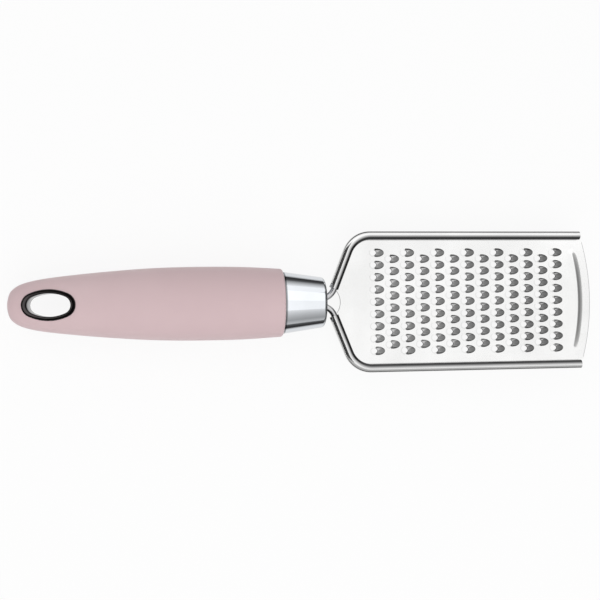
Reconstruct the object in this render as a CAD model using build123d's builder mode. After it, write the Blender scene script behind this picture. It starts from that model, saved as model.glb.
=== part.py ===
from build123d import *
import math
import os

# Coarse hand grater on a round grip. Millimetres. X runs along the tool to the blade's tip, Z is up on
# the toothed side, and the origin lies under the middle of the tool, level with the lowest of the grip.

# Grip
grip_length = 105.5          # tail to the ferrule
grip_width = 29.0            # across its widest place
grip_height = 27.8           # through its deepest place
grip_tail_round = 3.2
grip_mouth_round = 0.9

# Rigid core under the soft skin
core_mouth_diameter = 22.8   # where it meets the ferrule
core_waist_diameter = 23.8
core_tail_diameter = 14.0
core_waist_setback = 76.0    # tail of the grip to the core's thickest place
core_tail_setback = 32.0     # tail of the grip to the core's tail
spigot_length = 9.0          # core inside the ferrule
core_bore_length = 39.0      # hollow from the core's tail to short of the tangs
core_wall = 2.0

# Ferrule
ferrule_length = 16.9
ferrule_rear_diameter = 24.7
ferrule_front_diameter = 19.8
ferrule_wall = 0.8
ferrule_shoulder = 1.5
ferrule_nose_wall = 1.0

# Hang hole and its two-part ring
hang_hole_setback = 16.0     # tail to the middle of the hole
hang_hole_length = 16.2
hang_hole_width = 8.8
ring_sleeve_wall = 0.9
ring_flange_length = 20.4
ring_flange_width = 12.0
ring_seat_height = 4.6       # flange seat above the grip's mid plane
ring_proud = 0.7             # flange form over the grip's, at the grip's widest

# Frame rods
rod_diameter = 2.5
rod_gap = 0.3                # between the two tangs
tang_depth = 32.0            # rod past the ferrule into the core
neck_inset = 1.4             # start of the neck bend, behind the ferrule's face
neck_bend_radius = 6.0
leg_angle = 68.4             # leg to the tool's axis, in degrees
corner_radius = 10.0         # centre line of the frame's corner
rod_end_inset = 1.0          # rod short of the rolled edge's open end

# Blade sheet and rolled edge
sheet = 0.45
roll_clearance = 0.05        # rod to the inside of the roll
roll_sweep = 315.0           # degrees of roll round the rod
notch_radius = 7.1
notch_setback = 0.1          # notch centre behind the ferrule's face
tip_corner_run = 1.6         # plate's corners beyond the rolled edges
tip_bulge = 3.5              # tip beyond the corners

# Teeth
tooth_columns = 13
tooth_rows = 9               # every second column has one less
column_pitch = 6.36
row_pitch = 4.97
first_column_setback = 8.0   # frame corner to the first punched holes
last_column_margin = 11.6    # last punched holes to the end of the rolled edges
side_margin = 6.87           # outer row to the rod's centre line
punch_diameter = 2.3
tooth_collar = 0.3           # raised rim on the grip side of a hole
tooth_collar_rise = 0.2
hood_length = 4.6            # hole centre to the end of the hood
hood_width = 3.2
hood_height = 1.3
hood_wall = 0.35             # hood's foot, outside to inside
tooth_sides = 10

# Stiffening bead near the tip
bead_inset = 4.9             # bead's crest behind the tip
bead_width = 4.2
bead_height = 0.6
bead_length = 38.0           # between the middles of its round ends

# Fits
fit = 0.05                   # pressed and moulded seats
cut_over = 1.0               # how far a cutter runs past a face

# Stations from the tail, worked out from the sizes
leg_turn = math.radians(leg_angle)
rod_radius = rod_diameter / 2
rod_y = rod_gap / 2 + rod_radius
roll_inner = rod_radius + roll_clearance
roll_outer = roll_inner + sheet
side_y = (tooth_rows - 1) * row_pitch / 2 + side_margin
leg_y = rod_y + neck_bend_radius * (1 - math.cos(leg_turn))
face_station = grip_length + ferrule_length
bend_station = face_station - neck_inset
leg_station = bend_station + neck_bend_radius * math.sin(leg_turn)
corner_station = leg_station + (side_y - leg_y) / math.tan(leg_turn)
first_column_station = corner_station + first_column_setback
last_column_station = first_column_station + (tooth_columns - 1) * column_pitch
edge_end_station = last_column_station + last_column_margin
overall_length = edge_end_station + tip_corner_run + tip_bulge

# Places in the tool's own frame
tail_x = -overall_length / 2
tip_x = overall_length / 2
joint_x = tail_x + grip_length
face_x = tail_x + face_station
spigot_x = joint_x + spigot_length
nose_x = face_x - ferrule_nose_wall
tang_x = joint_x - tang_depth
bend_x = tail_x + bend_station
leg_x = tail_x + leg_station
corner_x = tail_x + corner_station
first_column_x = tail_x + first_column_station
edge_end_x = tail_x + edge_end_station
tip_corner_x = edge_end_x + tip_corner_run
hang_x = tail_x + hang_hole_setback
axis_z = grip_height / 2
plate_bottom = axis_z - roll_outer
plate_top = plate_bottom + sheet
above = 2 * grip_height
tool_axis = Axis((tail_x, 0, axis_z), (1, 0, 0))

# Grip form: place along the grip, then half width and half height, as shares of the grip's own
grip_form_shares = (
    (0.000, 0.280, 0.240),
    (0.056, 0.575, 0.430),
    (0.204, 0.771, 0.620),
    (0.367, 0.887, 0.780),
    (0.529, 0.970, 0.910),
    (0.692, 0.9985, 0.980),
    (0.855, 0.987, 0.999),
    (1.000, 0.930, 0.962),
)

os.makedirs("parts", exist_ok=True)


def across(x):
    """Plane square to the tool at x, centred on its axis, with its own x along +Y."""
    return Plane(origin=(x, 0, axis_z), x_dir=(0, 1, 0), z_dir=(1, 0, 0))


def grip_form(swell):
    """The grip's outer form, larger all round by a swell measured at its widest."""
    share = 1 + swell / (grip_width / 2)
    with BuildPart() as form:
        for place_share, width_share, height_share in grip_form_shares:
            with BuildSketch(across(tail_x - swell + place_share * (grip_length + swell))):
                Ellipse(grip_width / 2 * width_share * share, grip_height / 2 * height_share * share)
        loft()
        fillet(form.faces().sort_by(Axis.X)[0].edges(), grip_tail_round)
    return form.part


def turned(*points):
    """Solid turned round the tool's axis from a profile of (x, radius) points."""
    with BuildPart() as turning:
        with BuildSketch(Plane.XZ):
            with BuildLine():
                Polyline(*[(x, axis_z + radius) for x, radius in points], close=True)
            make_face()
        revolve(axis=tool_axis)
    return turning.part


def oval_prism(length, width, bottom, top):
    """Upright prism round the hang hole's middle, with an oval outline of four tangent arcs."""
    half_length = length / 2
    half_width = width / 2
    end_radius = (half_width + half_width**2 / half_length) / 2
    end_reach = half_length - end_radius
    side_radius = (end_reach**2 + half_width**2 - end_radius**2) / (2 * (half_width - end_radius))
    turn = math.atan2(side_radius - half_width, end_reach)
    meet_x = end_reach + end_radius * math.cos(turn)
    meet_y = end_radius * math.sin(turn)
    with BuildPart() as prism:
        with BuildSketch(Plane((hang_x, 0, bottom))):
            with BuildLine():
                ThreePointArc((-meet_x, meet_y), (0, half_width), (meet_x, meet_y))
                ThreePointArc((meet_x, meet_y), (half_length, 0), (meet_x, -meet_y))
                ThreePointArc((meet_x, -meet_y), (0, -half_width), (-meet_x, -meet_y))
                ThreePointArc((-meet_x, -meet_y), (-half_length, 0), (-meet_x, meet_y))
            make_face()
        extrude(amount=top - bottom)
    return prism.part


def ferrule_radius(x):
    """Outer radius of the ferrule's cone at x."""
    share = (x - joint_x) / ferrule_length
    return (ferrule_rear_diameter + share * (ferrule_front_diameter - ferrule_rear_diameter)) / 2


def ferrule_filling(start, end):
    """Solid cone that seats in the ferrule from start to end."""
    start_radius = ferrule_radius(start) - ferrule_wall - fit
    end_radius = ferrule_radius(end) - ferrule_wall - fit
    return turned((start, 0), (start, start_radius), (end, end_radius), (end, 0))


def frame_bar(side, radius):
    """Round bar on the centre line of one frame rod. Side is 1 on the left and -1 on the right."""
    with BuildPart() as bar:
        with BuildLine(Plane.XY.offset(axis_z)):
            FilletPolyline(
                (tang_x, side * rod_y),
                (bend_x + neck_bend_radius * math.tan(leg_turn / 2), side * rod_y),
                (corner_x, side * side_y),
                (edge_end_x - rod_end_inset, side * side_y),
                radius=[neck_bend_radius, corner_radius],
            )
        with BuildSketch(Plane((tang_x, side * rod_y, axis_z), x_dir=(0, 1, 0), z_dir=(1, 0, 0))):
            Circle(radius)
        sweep()
    return bar.part


# Core of the grip: turned form, hollow tail, spigot for the ferrule and slot for the tangs
core_tail_x = tail_x + core_tail_setback
core_bore_x = core_tail_x + core_bore_length
core_taper = (core_waist_diameter - core_tail_diameter) / 2 / (core_waist_setback - core_tail_setback)
core_bore_radius = core_tail_diameter / 2 - core_wall
core_form = turned(
    (core_tail_x, 0),
    (core_tail_x, core_tail_diameter / 2),
    (tail_x + core_waist_setback, core_waist_diameter / 2),
    (joint_x, core_mouth_diameter / 2),
    (joint_x, 0),
)
with BuildPart() as handle_core:
    add(core_form)
    add(ferrule_filling(joint_x, spigot_x))
    add(
        turned(
            (core_tail_x, 0),
            (core_tail_x, core_bore_radius),
            (core_bore_x, core_bore_radius + core_taper * core_bore_length),
            (core_bore_x, 0),
        ),
        mode=Mode.SUBTRACT,
    )
    with BuildSketch(across(spigot_x)):
        SlotOverall(2 * (rod_y + rod_radius + fit), rod_diameter + 2 * fit)
    extrude(amount=-(spigot_length + tang_depth + fit), mode=Mode.SUBTRACT)
handle_core.part.label = "handle_core"
export_step(handle_core.part, "parts/handle_core.step")

# Soft skin moulded over the core, with the seat of the hang ring
sleeve_length = hang_hole_length + 2 * ring_sleeve_wall
sleeve_width = hang_hole_width + 2 * ring_sleeve_wall
sleeve_cut = oval_prism(sleeve_length + 2 * fit, sleeve_width + 2 * fit, -cut_over, above)
seat_length = ring_flange_length + 2 * fit
seat_width = ring_flange_width + 2 * fit
front_seat_cut = oval_prism(seat_length, seat_width, axis_z + ring_seat_height, above)
back_seat_cut = oval_prism(seat_length, seat_width, -cut_over, axis_z - ring_seat_height)
with BuildPart() as soft_grip:
    add(grip_form(0))
    fillet(soft_grip.faces().sort_by(Axis.X)[-1].edges(), grip_mouth_round)
    add(core_form, mode=Mode.SUBTRACT)
    add(sleeve_cut, mode=Mode.SUBTRACT)
    add(front_seat_cut, mode=Mode.SUBTRACT)
    add(back_seat_cut, mode=Mode.SUBTRACT)
soft_grip.part.label = "soft_grip"
export_step(soft_grip.part, "parts/soft_grip.step")

# Hang ring in two halves, each a sleeve half with a flange that follows the grip
ring_form = grip_form(ring_proud)
hang_hole_cut = oval_prism(hang_hole_length, hang_hole_width, -cut_over, above)
for ring_name, seat_z, flange_end in (
    ("hang_ring_front", axis_z + ring_seat_height, above),
    ("hang_ring_back", axis_z - ring_seat_height, -cut_over),
):
    with BuildPart() as hang_ring:
        add(oval_prism(ring_flange_length, ring_flange_width, seat_z, flange_end))
        add(ring_form, mode=Mode.INTERSECT)
        add(oval_prism(sleeve_length, sleeve_width, axis_z, seat_z))
        add(hang_hole_cut, mode=Mode.SUBTRACT)
    hang_ring.part.label = ring_name
    export_step(hang_ring.part, "parts/" + ring_name + ".step")

# Two bent rods of the blade's frame, whose tangs run back into the core
for rod_name, side in (("left_frame_rod", 1), ("right_frame_rod", -1)):
    with BuildPart() as frame_rod:
        add(frame_bar(side, rod_radius))
    frame_rod.part.label = rod_name
    export_step(frame_rod.part, "parts/" + rod_name + ".step")

# Plug moulded round the rods, which fills the ferrule ahead of the spigot
with BuildPart() as tang_plug:
    add(ferrule_filling(spigot_x, nose_x))
    add(frame_bar(1, rod_radius + fit), mode=Mode.SUBTRACT)
    add(frame_bar(-1, rod_radius + fit), mode=Mode.SUBTRACT)
tang_plug.part.label = "tang_plug"
export_step(tang_plug.part, "parts/tang_plug.step")

# Ferrule, a tapered cup with a slot in its nose for the rods
nose_turn = math.asin(neck_inset / neck_bend_radius)
rod_spread = neck_bend_radius * (1 - math.cos(nose_turn))
nose_slot_length = 2 * (rod_y + rod_spread + rod_radius / math.cos(nose_turn) + 2 * fit)
with BuildPart() as ferrule:
    add(
        turned(
            (joint_x, 0),
            (joint_x, ferrule_radius(joint_x)),
            (face_x, ferrule_radius(face_x)),
            (face_x, 0),
        )
    )
    fillet(ferrule.faces().sort_by(Axis.X)[-1].edges(), ferrule_shoulder)
    add(
        turned(
            (joint_x, 0),
            (joint_x, ferrule_radius(joint_x) - ferrule_wall),
            (nose_x, ferrule_radius(nose_x) - ferrule_wall),
            (nose_x, 0),
        ),
        mode=Mode.SUBTRACT,
    )
    with BuildSketch(across(nose_x - cut_over)):
        SlotOverall(nose_slot_length, rod_diameter + 2 * fit)
    extrude(amount=ferrule_nose_wall + 2 * cut_over, mode=Mode.SUBTRACT)
ferrule.part.label = "ferrule"
export_step(ferrule.part, "parts/ferrule.step")


def roll_form(side):
    """Rolled edge of one side, a sheet tube left open where it meets the plate."""
    outward = Vector(-math.sin(leg_turn), side * math.cos(leg_turn), 0)
    along = Vector(math.cos(leg_turn), side * math.sin(leg_turn), 0)
    ends = [math.radians(angle) for angle in (-90, roll_sweep - 90)]
    with BuildPart() as roll:
        with BuildLine(Plane.XY.offset(axis_z)):
            FilletPolyline(
                (leg_x, side * leg_y),
                (corner_x, side * side_y),
                (edge_end_x, side * side_y),
                radius=corner_radius,
            )
        with BuildSketch(Plane((leg_x, side * leg_y, axis_z), x_dir=outward, z_dir=along * side)):
            with BuildLine():
                CenterArc((0, 0), roll_outer, -90, roll_sweep)
                CenterArc((0, 0), roll_inner, -90, roll_sweep)
                for end in ends:
                    PolarLine((roll_inner * math.cos(end), roll_inner * math.sin(end)), sheet, math.degrees(end))
            make_face()
        sweep()
    return roll.part


def tooth_ring(tail_reach, head_reach, half_width, level):
    """Corner points of a many-sided oval with a longer head than tail, at a level over the plate's bottom."""
    points = []
    for step in range(tooth_sides):
        angle = 2 * math.pi * step / tooth_sides
        reach = head_reach if math.cos(angle) > 0 else tail_reach
        points.append((reach * math.cos(angle), half_width * math.sin(angle), level))
    return points


# One tooth with its patch of sheet, in flat facets: the rim of the punched hole slants up from a low collar
# on the grip's side to the hood's cutting edge, and the hood is hollow from below
collar_reach = punch_diameter / 2 + tooth_collar
collar_level = sheet + tooth_collar_rise
edge_slope = (hood_height - tooth_collar_rise) / punch_diameter
foot = tooth_ring(collar_reach, hood_length, hood_width / 2, sheet)
base = tooth_ring(collar_reach, hood_length, hood_width / 2, 0)
under = tooth_ring(punch_diameter / 2, hood_length - 2 * hood_wall, hood_width / 2 - hood_wall, 0)
rim = [
    (x, y, collar_level + edge_slope * (x + punch_diameter / 2))
    for x, y, _ in tooth_ring(punch_diameter / 2, punch_diameter / 2, punch_diameter / 2, 0)
]
facets = []
for near in range(tooth_sides):
    far = (near + 1) % tooth_sides
    first, second = (near, far) if 2 * near < tooth_sides else (far, near)
    facets.append((base[near], base[far], foot[far], foot[near]))
    facets.append((base[near], base[far], under[far], under[near]))
    for ring in (foot, under):
        facets.append((ring[first], ring[second], rim[second]))
        facets.append((ring[first], rim[second], rim[first]))
tooth = Solid(Shell([Face(Wire.make_polygon(points)) for points in facets]))

tooth_places = []
for column in range(tooth_columns):
    rows = tooth_rows - column % 2
    for row in range(rows):
        tooth_places.append((first_column_x + column * column_pitch, (row - (rows - 1) / 2) * row_pitch))

# Bead: a shallow pressed rib with round ends, on an arc round the centre of the tip's own arc
tip_y = side_y - roll_outer
tip_radius = (tip_y**2 + tip_bulge**2) / (2 * tip_bulge)
tip_centre_x = tip_x - tip_radius
bead_radius = tip_radius - bead_inset
bead_turn = math.degrees(math.asin(bead_length / 2 / bead_radius))
bead_bend = (bead_width**2 / 4 + bead_height**2) / (2 * bead_height)


def bead_form(level):
    """The bead's rib, standing on a level."""
    centre_level = level + bead_height - bead_bend
    with BuildPart() as rib:
        with BuildLine(Plane.XY.offset(centre_level)):
            crest = CenterArc((tip_centre_x, 0), bead_radius, -bead_turn, 2 * bead_turn)
        with BuildSketch(Plane(crest @ 0, z_dir=crest % 0)):
            Circle(bead_bend)
        sweep()
        for end in (crest @ 0, crest @ 1):
            with Locations(end):
                Sphere(bead_bend)
        split(bisect_by=Plane.XY.offset(level), keep=Keep.TOP)
    return rib.part


# Blade: plate, rolled edges, notch, bead and teeth in one sheet
with BuildPart() as blade:
    with BuildSketch(Plane.XY.offset(plate_bottom)):
        with BuildLine():
            FilletPolyline((leg_x, leg_y), (corner_x, side_y), (edge_end_x, side_y), radius=corner_radius)
            Polyline((edge_end_x, side_y), (edge_end_x, tip_y), (tip_corner_x, tip_y))
            ThreePointArc((tip_corner_x, tip_y), (tip_x, 0), (tip_corner_x, -tip_y))
            Polyline((tip_corner_x, -tip_y), (edge_end_x, -tip_y), (edge_end_x, -side_y))
            FilletPolyline((edge_end_x, -side_y), (corner_x, -side_y), (leg_x, -leg_y), radius=corner_radius)
            Line((leg_x, -leg_y), (leg_x, leg_y))
        make_face()
        with Locations(*tooth_places):
            Polygon(*[(x, y) for x, y, _ in foot], align=None, mode=Mode.SUBTRACT)
    extrude(amount=sheet)
    add(roll_form(1))
    add(roll_form(-1))
    with BuildSketch():
        with Locations((face_x - notch_setback, 0)):
            Circle(notch_radius)
    extrude(amount=above, mode=Mode.SUBTRACT)
    add(bead_form(plate_top))
    add(bead_form(plate_bottom), mode=Mode.SUBTRACT)
    with Locations(*[(x, y, plate_bottom) for x, y in tooth_places]):
        add(tooth)
blade.part.label = "blade"
export_step(blade.part, "parts/blade.step")
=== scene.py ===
"""Looks of a coarse hand grater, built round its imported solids.

The sheet blade, the rods, the ferrule, the soft grip and the hang ring are modelled here as meshes in the
place of their solids. Everything is in metres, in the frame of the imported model: X along the tool to the
blade's tip, Z up on the toothed side.
"""

import logging
import math
from collections.abc import Sequence
from dataclasses import dataclass, field, replace
from enum import Enum

import bmesh
import bpy
from mathutils import Matrix, Vector


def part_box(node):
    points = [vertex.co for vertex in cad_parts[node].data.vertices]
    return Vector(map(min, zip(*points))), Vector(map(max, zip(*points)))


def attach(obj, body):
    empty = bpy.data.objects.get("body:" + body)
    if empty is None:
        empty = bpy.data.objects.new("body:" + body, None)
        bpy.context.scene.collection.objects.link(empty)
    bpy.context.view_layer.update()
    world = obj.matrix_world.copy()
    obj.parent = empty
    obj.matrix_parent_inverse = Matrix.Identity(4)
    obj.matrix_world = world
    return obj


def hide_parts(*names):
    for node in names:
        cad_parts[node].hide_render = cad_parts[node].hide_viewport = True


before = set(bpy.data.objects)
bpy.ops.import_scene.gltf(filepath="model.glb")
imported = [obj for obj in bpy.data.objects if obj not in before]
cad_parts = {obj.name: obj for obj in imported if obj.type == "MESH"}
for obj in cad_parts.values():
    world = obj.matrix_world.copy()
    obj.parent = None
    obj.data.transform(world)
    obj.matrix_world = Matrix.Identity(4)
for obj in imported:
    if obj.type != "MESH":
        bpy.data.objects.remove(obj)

Socket = bpy.types.NodeSocket
Pair = tuple[float, float]
Triple = tuple[float, float, float]
Run = list[bmesh.types.BMVert]

LOG = logging.getLogger("grater")
BODY = "root"
MM = 0.001
# The per-point painted shade that darkens a metal, standing for shade in creases and joints and for dark
# reflections, and the colour that it darkens to.
PAINTED_SHADE = "painted_shade"
PAINTED_SHADE_COLOR = (0.03, 0.03, 0.032, 1.0)
# Brightness of a metal's clouded patches against its clear ones.
CLOUDED_SHARE = 0.93
# How deep polishing lines and stipple go at full strength.
LINE_RELIEF = 0.05 * MM
STIPPLE_RELIEF = 0.04 * MM
# A face that points up or down more squarely than this is flat plate and gets flat shading.
FLAT_OVER = 0.99999
# Vertices closer together than this become one.
WELD = 1e-6
# A direction's cosine below this counts as none.
ON_AXIS = 1e-9
# Thickness of the blade's sheet.
SHEET = 0.45 * MM
# The rods start to bend this far behind the ferrule's face.
BEND_INSIDE_FERRULE = 1.4 * MM
# The rolled sides end this far past the rods.
SIDE_PAST_ROD = 1.0 * MM


# Node groups and finishes


class NodeSpace:
    """Short ways to add and link nodes in one node tree."""

    def __init__(self, tree: bpy.types.NodeTree) -> None:
        """Keeps the tree that the nodes go into."""
        self.tree = tree

    def add(
        self, kind: str, inputs: dict[str | int, object] | None = None, **values: object
    ) -> bpy.types.Node:
        """Adds a node.

        Args:
            kind: The node's type name.
            inputs: What goes into its inputs, by their names or numbers.
            **values: Attributes of the node to set.

        Returns:
            The new node.
        """
        node = self.tree.nodes.new(kind)
        for name, value in values.items():
            setattr(node, name, value)
        for name, value in (inputs or {}).items():
            self.feed(value, node.inputs[name])
        return node

    def feed(self, value: object, target: Socket) -> None:
        """Links a socket to an input, or sets the input to a plain number or colour."""
        if isinstance(value, Socket):
            self.tree.links.new(value, target)
        else:
            target.default_value = value

    def place(self) -> Socket:
        """The shaded place's coordinates in its own object."""
        return self.add("ShaderNodeTexCoord").outputs["Object"]

    def own_y(self) -> Socket:
        """The shaded place's Y in its own object."""
        return self.add("ShaderNodeSeparateXYZ", {"Vector": self.place()}).outputs["Y"]

    def range(self, value: Socket, low: float, high: float, to_low: float, to_high: float) -> Socket:
        """Maps a value from one range to another, and clamps it.

        Args:
            value: The socket to read.
            low: Start of the source range.
            high: End of the source range.
            to_low: Start of the target range.
            to_high: End of the target range.

        Returns:
            The mapped value.
        """
        ends = {"From Min": low, "From Max": high, "To Min": to_low, "To Max": to_high}
        return self.add("ShaderNodeMapRange", {"Value": value, **ends}).outputs["Result"]

    def compute(self, operation: str, *values: Socket | float) -> Socket:
        """Puts values through a Math node.

        Args:
            operation: The node's operation.
            *values: Sockets or plain numbers, in the node's order.

        Returns:
            The result.
        """
        return self.add("ShaderNodeMath", dict(enumerate(values)), operation=operation).outputs["Value"]

    def blend(self, factor: Socket, first: object, second: object) -> Socket:
        """Mixes two colours.

        Args:
            factor: Share of the second colour.
            first: The first colour, plain or a socket.
            second: The second colour, plain or a socket.

        Returns:
            The mixed colour.
        """
        colors = {"Factor": factor, "A": first, "B": second}
        return self.add("ShaderNodeMix", colors, data_type="RGBA").outputs["Result"]

    def noise(self, place: Socket, scale: Socket | float, detail: float) -> Socket:
        """Adds a noise texture.

        Args:
            place: The coordinates to read it at.
            scale: Its scale.
            detail: Its detail.

        Returns:
            The noise's value.
        """
        inputs = {"Vector": place, "Scale": scale, "Detail": detail}
        return self.add("ShaderNodeTexNoise", inputs).outputs["Fac"]

    def emboss(self, shader: bpy.types.Node, height: Socket, strength: float, distance: float) -> None:
        """Gives a shader a fine relief.

        Args:
            shader: The shader's node.
            height: The relief's height.
            strength: The relief's strength.
            distance: How deep it goes at full strength.
        """
        inputs = {"Strength": strength, "Distance": distance, "Height": height}
        self.feed(self.add("ShaderNodeBump", inputs).outputs["Normal"], shader.inputs["Normal"])

    def put_out(self, kind: str, share: Socket, first: Socket, second: Socket) -> None:
        """Mixes two shaders into a new output node.

        Args:
            kind: The output node's type name.
            share: Share of the second shader.
            first: The first shader.
            second: The second shader.
        """
        mix = self.add("ShaderNodeMixShader", {"Fac": share, 1: first, 2: second})
        self.add(kind, {"Surface": mix.outputs["Shader"]})


def new_material(name: str) -> tuple[bpy.types.Material, NodeSpace, bpy.types.Node]:
    """Starts a material.

    Args:
        name: The material's name.

    Returns:
        The material, its node space and its Principled node.
    """
    material = bpy.data.materials.new(name)
    material.use_nodes = True
    return material, NodeSpace(material.node_tree), material.node_tree.nodes["Principled BSDF"]


def bare_material(name: str) -> tuple[bpy.types.Material, NodeSpace]:
    """Starts a material without any nodes.

    Args:
        name: The material's name.

    Returns:
        The material and its node space.
    """
    material, space, _ = new_material(name)
    material.node_tree.nodes.clear()
    return material, space


def add_object(name: str, data: bpy.types.ID) -> bpy.types.Object:
    """Makes an object of some data and links it to the scene.

    Args:
        name: The object's name.
        data: Its mesh, camera or light.

    Returns:
        The object.
    """
    made = bpy.data.objects.new(name, data)
    bpy.context.scene.collection.objects.link(made)
    return made


def add_sheet(
    name: str, half_width: float, half_height: float, material: bpy.types.Material
) -> bpy.types.Object:
    """Adds a flat four-cornered sheet round its own middle.

    Args:
        name: The sheet's name.
        half_width: Half of its size along its own X.
        half_height: Half of its size along its own Y.
        material: Its material.

    Returns:
        The sheet's object.
    """
    data = bpy.data.meshes.new(name)
    signs = ((-1, -1), (1, -1), (1, 1), (-1, 1))
    data.from_pydata([(x * half_width, y * half_height, 0.0) for x, y in signs], [], [(0, 1, 2, 3)])
    data.materials.append(material)
    return add_object(name, data)


def new_group(
    name: str, inputs: dict[str, float], outputs: Sequence[str]
) -> tuple[NodeSpace, bpy.types.Node, bpy.types.Node]:
    """Starts a shader node group.

    Args:
        name: The group's name.
        inputs: Names of number inputs, with their defaults.
        outputs: Names of number outputs.

    Returns:
        The group's node space, its input node and its output node.
    """
    tree = bpy.data.node_groups.new(name, "ShaderNodeTree")
    for label, default in inputs.items():
        socket = tree.interface.new_socket(name=label, in_out="INPUT", socket_type="NodeSocketFloat")
        socket.default_value = default
    for label in outputs:
        tree.interface.new_socket(name=label, in_out="OUTPUT", socket_type="NodeSocketFloat")
    space = NodeSpace(tree)
    return space, space.add("NodeGroupInput"), space.add("NodeGroupOutput")


class Grain(Enum):
    """Which way a metal's polishing lines run."""

    ALONG = (6.0, 420.0, 420.0)
    AROUND = (520.0, 30.0, 30.0)


def build_polish_group() -> bpy.types.NodeTree:
    """Polishing lines and faint clouding of a metal surface.

    Returns:
        A group with Lines, the height of the polishing lines, and Cloud, a slow change in polish.
    """
    space, given, result = new_group(
        "polish_lines", dict(zip(("Scale X", "Scale Y", "Scale Z"), Grain.ALONG.value)), ("Lines", "Cloud")
    )
    place = space.place()
    scales = {axis: given.outputs["Scale " + axis] for axis in "XYZ"}
    stretch = space.add("ShaderNodeCombineXYZ", scales).outputs["Vector"]
    scaled = space.add("ShaderNodeVectorMath", {0: place, 1: stretch}, operation="MULTIPLY")
    lines = space.noise(scaled.outputs["Vector"], scale=9.0, detail=4.0)
    space.feed(lines, result.inputs["Lines"])
    space.feed(space.noise(place, scale=60.0, detail=3.0), result.inputs["Cloud"])
    return space.tree


def build_skin_group() -> bpy.types.NodeTree:
    """Fine stipple and soft handling marks of a moulded surface.

    Returns:
        A group with Stipple, a fine height, and Handling, a slow mask of rubbed patches.
    """
    space, given, result = new_group(
        "moulded_skin", {"Stipple Scale": 2600.0, "Patch Scale": 28.0}, ("Stipple", "Handling")
    )
    place = space.place()
    stipple = space.noise(place, given.outputs["Stipple Scale"], detail=2.0)
    patches = space.noise(place, given.outputs["Patch Scale"], detail=4.0)
    space.feed(stipple, result.inputs["Stipple"])
    space.feed(patches, result.inputs["Handling"])
    return space.tree


@dataclass(frozen=True)
class MetalFinish:
    """A polished or satin metal."""

    name: str
    color: Triple
    roughness: float
    roughness_swing: float
    line_depth: float
    grain: Grain
    cloud_range: Pair = (0.35, 0.65)
    line_range: Pair = (0.3, 0.7)

    def build(self, polish: bpy.types.NodeTree) -> bpy.types.Material:
        """Makes the metal's material.

        Args:
            polish: The node group of polishing lines.

        Returns:
            The material.
        """
        material, space, shader = new_material(self.name)
        shader.inputs["Metallic"].default_value = 1.0
        lines = space.add("ShaderNodeGroup", node_tree=polish)
        for axis, scale in zip("XYZ", self.grain.value):
            lines.inputs["Scale " + axis].default_value = scale
        clouded = (*[channel * CLOUDED_SHARE for channel in self.color], 1.0)
        clear = space.range(lines.outputs["Cloud"], *self.cloud_range, 0.0, 1.0)
        tone = space.blend(clear, clouded, (*self.color, 1.0))
        # Painted shade: each point's painted shade darkens the base colour toward near black.
        painted_shade_share = space.add("ShaderNodeAttribute", attribute_name=PAINTED_SHADE).outputs["Fac"]
        space.feed(space.blend(painted_shade_share, tone, PAINTED_SHADE_COLOR), shader.inputs["Base Color"])
        low = self.roughness - self.roughness_swing
        high = self.roughness + self.roughness_swing
        polished = space.range(lines.outputs["Lines"], *self.line_range, low, high)
        space.feed(polished, shader.inputs["Roughness"])
        space.emboss(shader, lines.outputs["Lines"], self.line_depth, LINE_RELIEF)
        return material


@dataclass(frozen=True)
class MouldedFinish:
    """A moulded plastic or soft-touch rubber."""

    name: str
    color: Triple
    rubbed_color: Triple
    roughness: float
    stipple_depth: float
    sheen: float
    sheen_roughness: float = 0.5
    rubbed_range: Pair = (0.42, 0.68)
    worn_range: Pair = (0.4, 0.7)
    worn_drop: float = 0.08

    def build(self, skin: bpy.types.NodeTree) -> bpy.types.Material:
        """Makes the moulded material.

        Args:
            skin: The node group of stipple and handling marks.

        Returns:
            The material.
        """
        material, space, shader = new_material(self.name)
        shader.inputs["Sheen Weight"].default_value = self.sheen
        shader.inputs["Sheen Roughness"].default_value = self.sheen_roughness
        marks = space.add("ShaderNodeGroup", node_tree=skin)
        handling = marks.outputs["Handling"]
        rubbed = space.range(handling, *self.rubbed_range, 0.0, 1.0)
        tone = space.blend(rubbed, (*self.color, 1.0), (*self.rubbed_color, 1.0))
        space.feed(tone, shader.inputs["Base Color"])
        worn = space.range(handling, *self.worn_range, self.roughness, self.roughness - self.worn_drop)
        space.feed(worn, shader.inputs["Roughness"])
        space.emboss(shader, marks.outputs["Stipple"], self.stipple_depth, STIPPLE_RELIEF)
        return material


BLADE_STEEL = MetalFinish("satin_blade_steel", (0.945, 0.945, 0.94), 0.13, 0.03, 0.05, Grain.ALONG)
ROD_STEEL = MetalFinish("drawn_rod_steel", (0.62, 0.62, 0.63), 0.11, 0.03, 0.06, Grain.ALONG)
FERRULE_METAL = MetalFinish("satin_ferrule_metal", (0.92, 0.95, 0.99), 0.07, 0.02, 0.04, Grain.AROUND)
# The ring's near-black base colour is painted reflection: it stands for the dark surroundings that its
# chrome reflects.
RING_PLATING = MetalFinish("chrome_ring_painted_dark", (0.080, 0.072, 0.072), 0.14, 0.03, 0.03, Grain.AROUND)
GRIP_SKIN = MouldedFinish("soft_touch_grip", (0.640, 0.475, 0.492), (0.665, 0.500, 0.515), 0.62, 0.18, 0.30)
PLUG_PLASTIC = MouldedFinish(
    "dark_plug_plastic", (0.03, 0.03, 0.032), (0.045, 0.045, 0.047), 0.55, 0.3, 0.0
)
CORE_PLASTIC = MouldedFinish("core_plastic", (0.45, 0.44, 0.44), (0.50, 0.49, 0.49), 0.55, 0.3, 0.0)


# Mesh helpers


def circle_points(count: int) -> list[Pair]:
    """Cosine and sine pairs evenly round a circle."""
    turns = [2 * math.pi * step / count for step in range(count)]
    return [(math.cos(turn), math.sin(turn)) for turn in turns]


def ramp(value: float, start: float, run: float) -> float:
    """Rises evenly from 0 to 1 over a run from a start, and stays level outside it."""
    return min(max((value - start) / run, 0.0), 1.0)


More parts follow.
